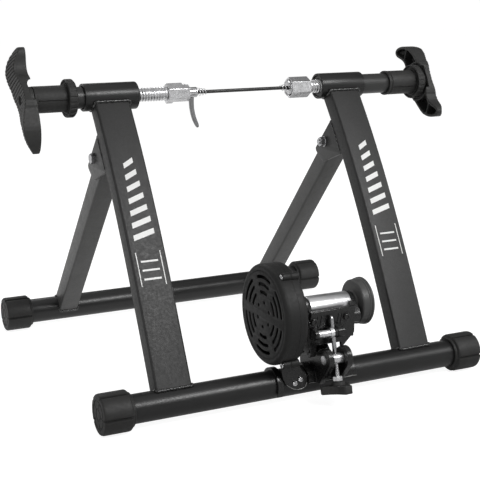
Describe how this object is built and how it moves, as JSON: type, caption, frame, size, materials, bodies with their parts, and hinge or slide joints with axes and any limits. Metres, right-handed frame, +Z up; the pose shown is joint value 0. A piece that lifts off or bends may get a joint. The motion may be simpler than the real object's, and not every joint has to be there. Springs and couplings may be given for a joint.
{
  "type": "wheel-on bicycle trainer",
  "caption": "Folding A-frame stand that clamps a bicycle's rear axle between two screw cups and rests the tyre on a magnetic roller unit with a tension knob.",
  "frame": {"origin": "on the floor, midway between the ends of the whole object in length and depth", "axes": "+X along the base tubes and the clamp axis, from the housing side to the flywheel side; +Y from the tube under the roller to the folding frame's tube; +Z up"},
  "size_m": [0.666, 0.5656, 0.4641],
  "materials": {
    "gloss_black_paint": "gloss black powder coat",
    "satin_black_paint": "satin black powder coat",
    "black_rubber": "matt, lightly grained",
    "black_plastic": "matt moulded, fine grain",
    "dark_nylon": "smooth moulded",
    "zinc_plate": "bright zinc plating",
    "polished_steel": "ground and polished",
    "chrome": "bright chrome",
    "black_casting": "black painted casting",
    "dark_steel": "blackened sheet",
    "ferrite": "bare ferrite"
  },
  "bodies": {
    "rear_frame": {"rear_base_tube": "gloss_black_paint", "left_upright": "satin_black_paint", "right_upright": "satin_black_paint", "left_sleeve": "gloss_black_paint", "right_sleeve": "gloss_black_paint", "left_guide_bush": "dark_nylon", "right_guide_bush": "dark_nylon", "left_fold_bracket": "satin_black_paint", "right_fold_bracket": "satin_black_paint", "left_pivot_bolt": "zinc_plate", "right_pivot_bolt": "zinc_plate", "left_pivot_nut": "zinc_plate", "right_pivot_nut": "zinc_plate", "rear_left_foot": "black_rubber", "rear_right_foot": "black_rubber", "unit_bracket": "black_casting", "clamp_plate": "black_casting", "clamp_screw_upper": "chrome", "clamp_screw_lower": "chrome", "unit_hinge_pin": "zinc_plate"},
    "front_frame": {"front_base_tube": "gloss_black_paint", "left_leg": "satin_black_paint", "right_leg": "satin_black_paint", "front_left_foot": "black_rubber", "front_right_foot": "black_rubber", "left_leg_bush": "dark_nylon", "right_leg_bush": "dark_nylon"},
    "left_carriage": {"left_cup": "zinc_plate", "skewer_rod": "satin_black_paint", "skewer_head": "chrome", "skewer_spring_left": "zinc_plate", "skewer_spring_right": "zinc_plate"},
    "left_screw": {"left_spindle": "zinc_plate", "left_shank": "black_plastic", "left_handle": "black_plastic"},
    "left_ring": {"left_lock_ring": "black_plastic"},
    "quick_release_lever": {"skewer_lever": "chrome"},
    "quick_release_nut": {"skewer_nut": "chrome"},
    "right_carriage": {"right_cup": "zinc_plate"},
    "right_screw": {"right_spindle": "zinc_plate", "right_shank": "black_plastic", "right_handle": "black_plastic"},
    "right_ring": {"right_lock_ring": "black_plastic"},
    "resistance_unit": {"roller_yoke": "black_casting", "housing_cover": "black_plastic", "housing_back": "black_plastic", "magnet_ring": "ferrite", "left_bearing": "polished_steel", "right_bearing": "polished_steel", "housing_screw_upper": "chrome", "housing_screw_lower": "chrome"},
    "bolt_nut": {"upper_trunnion": "zinc_plate"},
    "roller_group": {"roller": "polished_steel", "roller_axle": "polished_steel", "brake_disc": "dark_steel", "flywheel": "black_casting"},
    "bolt_swivel": {"lower_trunnion": "zinc_plate"},
    "knob_and_bolt": {"tension_bolt": "zinc_plate", "tension_knob": "black_plastic", "tension_nut": "zinc_plate"}
  },
  "joints": [
    {"name": "fold", "type": "hinge", "parent": "rear_frame", "child": "front_frame", "pos_m": [-0.01805, 0.00813, 0.3115], "axis": [-1, 0, 0], "range_deg": [0, 68]},
    {"name": "left_clamp_slide", "type": "slide", "parent": "rear_frame", "child": "left_carriage", "axis": [-1, 0, 0], "range_m": [0, 0.0379]},
    {"name": "left_screw_turn", "type": "hinge", "parent": "left_carriage", "child": "left_screw", "pos_m": [-0.17805, 0.01383, 0.3953], "axis": [-1, 0, 0], "range_deg": [0, 3240]},
    {"name": "left_ring_travel", "type": "slide", "parent": "left_screw", "child": "left_ring", "axis": [-1, 0, 0], "range_m": [0, 0.05]},
    {"name": "skewer_lever_swing", "type": "hinge", "parent": "left_carriage", "child": "quick_release_lever", "pos_m": [-0.07665, 0.01383, 0.3953], "axis": [0, 1, 0], "range_deg": [0, 50]},
    {"name": "skewer_nut_turn", "type": "hinge", "parent": "left_carriage", "child": "quick_release_nut", "pos_m": [0.08195, 0.01383, 0.3953], "axis": [1, 0, 0], "continuous": true},
    {"name": "right_clamp_slide", "type": "slide", "parent": "rear_frame", "child": "right_carriage", "axis": [1, 0, 0], "range_m": [-0.0141, 0.0127]},
    {"name": "right_screw_turn", "type": "hinge", "parent": "right_carriage", "child": "right_screw", "pos_m": [0.16195, 0.01383, 0.3953], "axis": [1, 0, 0], "range_deg": [-1200, 1080]},
    {"name": "right_ring_travel", "type": "slide", "parent": "right_screw", "child": "right_ring", "axis": [-1, 0, 0], "range_m": [0, 0.05]},
    {"name": "unit_tilt", "type": "hinge", "parent": "rear_frame", "child": "resistance_unit", "pos_m": [0.01395, -0.18987, 0.061], "axis": [1, 0, 0], "range_deg": [-13.05, 0]},
    {"name": "upper_trunnion_turn", "type": "hinge", "parent": "resistance_unit", "child": "bolt_nut", "pos_m": [0.01395, -0.23938, 0.098], "axis": [1, 0, 0], "range_deg": [0, 4.76]},
    {"name": "bolt_swing", "type": "hinge", "parent": "rear_frame", "child": "bolt_swivel", "pos_m": [0.01395, -0.24788, 0.0645], "axis": [1, 0, 0], "range_deg": [-8.44, 0]},
    {"name": "tension_knob_turn", "type": "hinge", "parent": "bolt_swivel", "child": "knob_and_bolt", "pos_m": [0.01395, -0.24788, 0.0645], "axis": [0, -0.2459, -0.9693], "range_deg": [0, 4580]},
    {"name": "roller_spin", "type": "hinge", "parent": "resistance_unit", "child": "roller_group", "pos_m": [0.02595, -0.19787, 0.122], "axis": [1, 0, 0], "continuous": true}
  ],
  "couplings": [
    {"joint": "left_clamp_slide", "follows": "left_screw_turn", "m_per_rad": 0.00066845},
    {"joint": "right_clamp_slide", "follows": "right_screw_turn", "m_per_rad": 0.00066845},
    {"joint": "unit_tilt", "follows": "tension_knob_turn", "ratio": -0.0028384},
    {"joint": "bolt_swing", "follows": "tension_knob_turn", "ratio": -0.0018217},
    {"joint": "upper_trunnion_turn", "follows": "tension_knob_turn", "ratio": 0.0010167}
  ]
}
